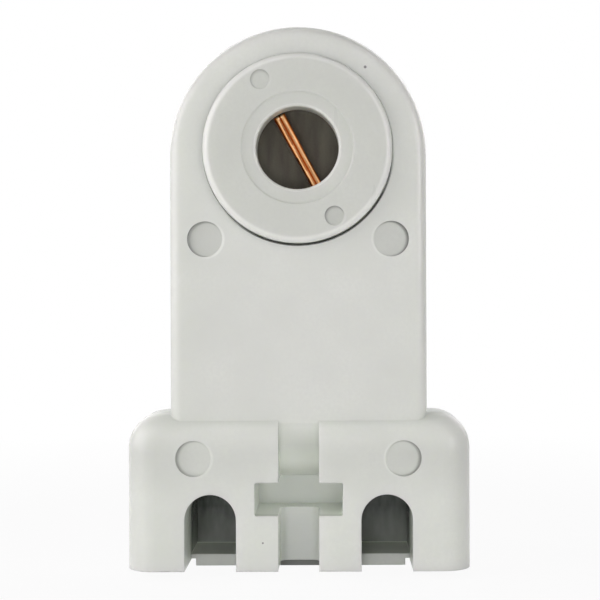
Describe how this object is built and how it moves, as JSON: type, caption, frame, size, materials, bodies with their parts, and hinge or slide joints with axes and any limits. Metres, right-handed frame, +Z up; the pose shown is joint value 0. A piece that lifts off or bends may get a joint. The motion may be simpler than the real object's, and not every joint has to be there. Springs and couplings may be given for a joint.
{
  "type": "fluorescent tube lamp holder",
  "caption": "Pedestal lamp holder for a single-pin fluorescent tube: moulded white shell, spring-loaded round pin socket, screw channel with nut slot and arched wire entries.",
  "frame": {"origin": "below the middle of the whole holder, on the underside of the rear cover's floor", "axes": "+X to the right seen from the front, +Y to the back, +Z up; the tube's pin enters along +Y"},
  "size_m": [0.0388, 0.0178, 0.0621],
  "materials": {
    "housing_plastic": "white moulded plastic, smooth, soft gloss",
    "insert_plastic": "white moulded plastic, smooth, soft gloss",
    "dark_plastic": "dark moulded insulation, matt",
    "contact_copper": "bright copper alloy strip",
    "plate_brass": "stamped brass, dull",
    "spring_steel": "drawn spring wire",
    "clamp_steel": "bent spring strip, dull",
    "rivet_steel": "plated rivet"
  },
  "bodies": {
    "housing": {"front_housing": "housing_plastic", "rear_cover": "housing_plastic", "terminal_plate": "plate_brass", "left_wire_clamp": "clamp_steel", "right_wire_clamp": "clamp_steel", "left_clamp_rivet": "rivet_steel", "right_clamp_rivet": "rivet_steel", "upper_left_rivet": "rivet_steel", "upper_right_rivet": "rivet_steel", "lower_left_rivet": "rivet_steel", "lower_right_rivet": "rivet_steel", "plunger_spring": "spring_steel"},
    "spring_seat": {"spring_washer": "plate_brass"},
    "plunger": {"plunger": "insert_plastic", "pin_contact": "contact_copper", "plunger_cap": "dark_plastic"}
  },
  "joints": [
    {"name": "plunger_slide", "type": "slide", "parent": "housing", "child": "spring_seat", "axis": [0, 1, 0], "range_m": [0, 0.006], "stiffness_N_per_m": 1000, "springref_m": -0.004, "deforming": ["plunger_spring"]},
    {"name": "plunger_turn", "type": "hinge", "parent": "spring_seat", "child": "plunger", "pos_m": [-0.00001, 0, 0.04819], "axis": [0, 1, 0], "continuous": true}
  ]
}
